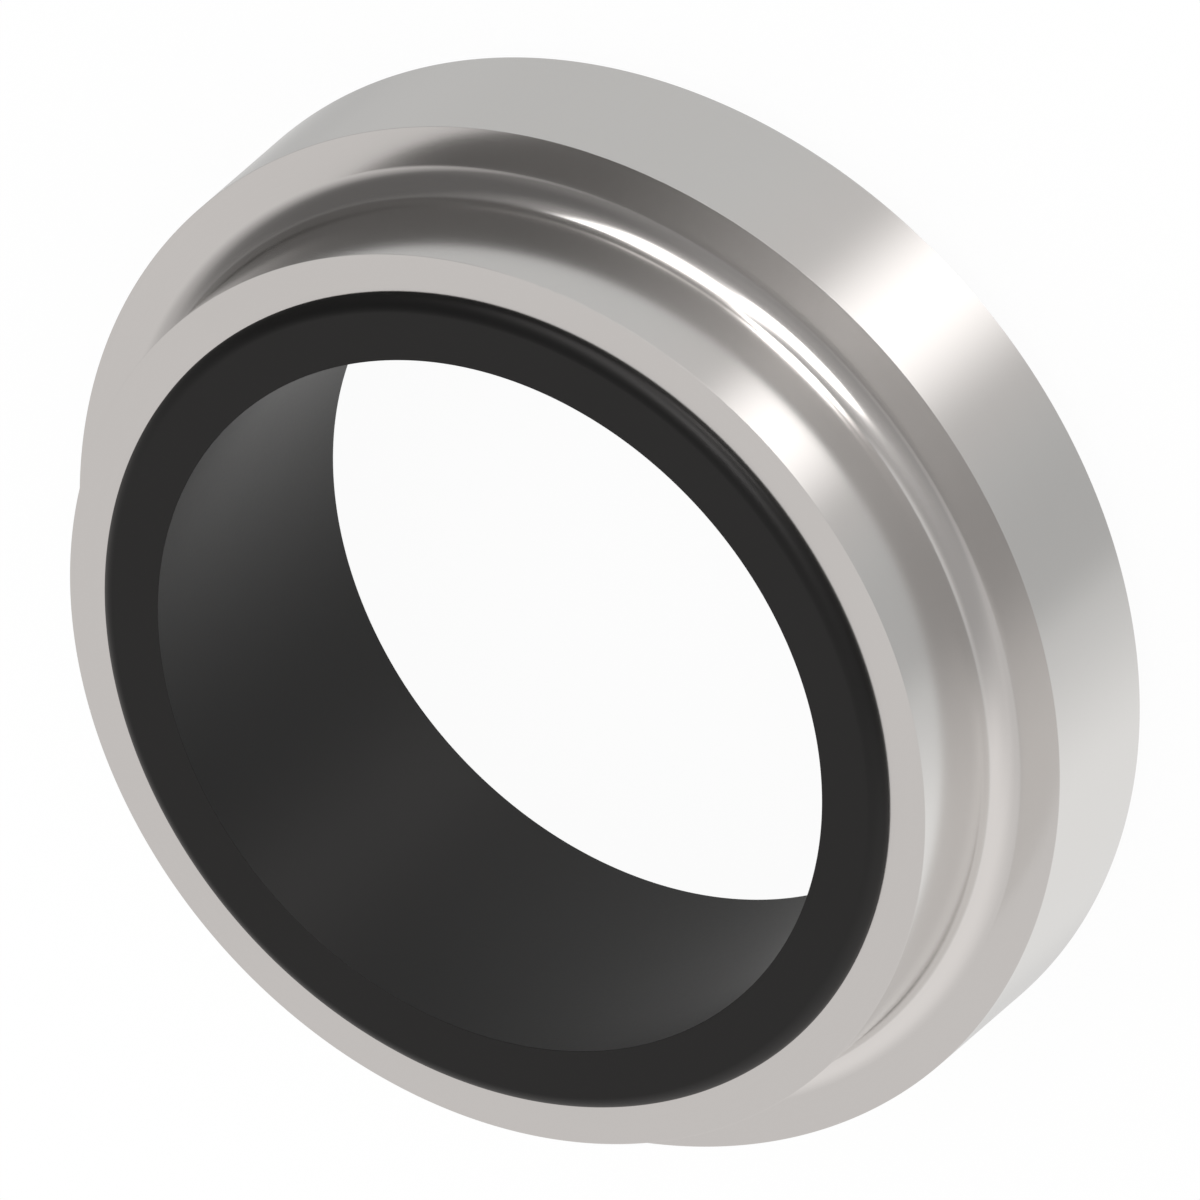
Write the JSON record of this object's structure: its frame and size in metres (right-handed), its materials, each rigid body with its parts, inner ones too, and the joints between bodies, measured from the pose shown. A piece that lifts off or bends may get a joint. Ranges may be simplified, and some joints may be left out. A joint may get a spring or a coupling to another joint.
{
  "type": "sealing ring",
  "caption": "Stepped metal sealing ring with a collar, a narrower sleeve and a black rubber liner bonded into its bore, which seals on a tube or shaft.",
  "frame": {"origin": "centre of the liner's lower end face, on the ring's axis, which is the surface that the ring stands on", "axes": "+Z along the ring's axis, from the collar's end towards the sleeve's end; +X and +Y are any two square directions across it, because the ring is round"},
  "size_m": [0.04, 0.04, 0.0124],
  "materials": {
    "turned_steel": "smooth turned stainless steel with a bright satin polish",
    "black_rubber": "matt moulded black rubber"
  },
  "bodies": {
    "root": {"metal_ring": "turned_steel", "rubber_liner": "black_rubber"}
  },
  "joints": []
}
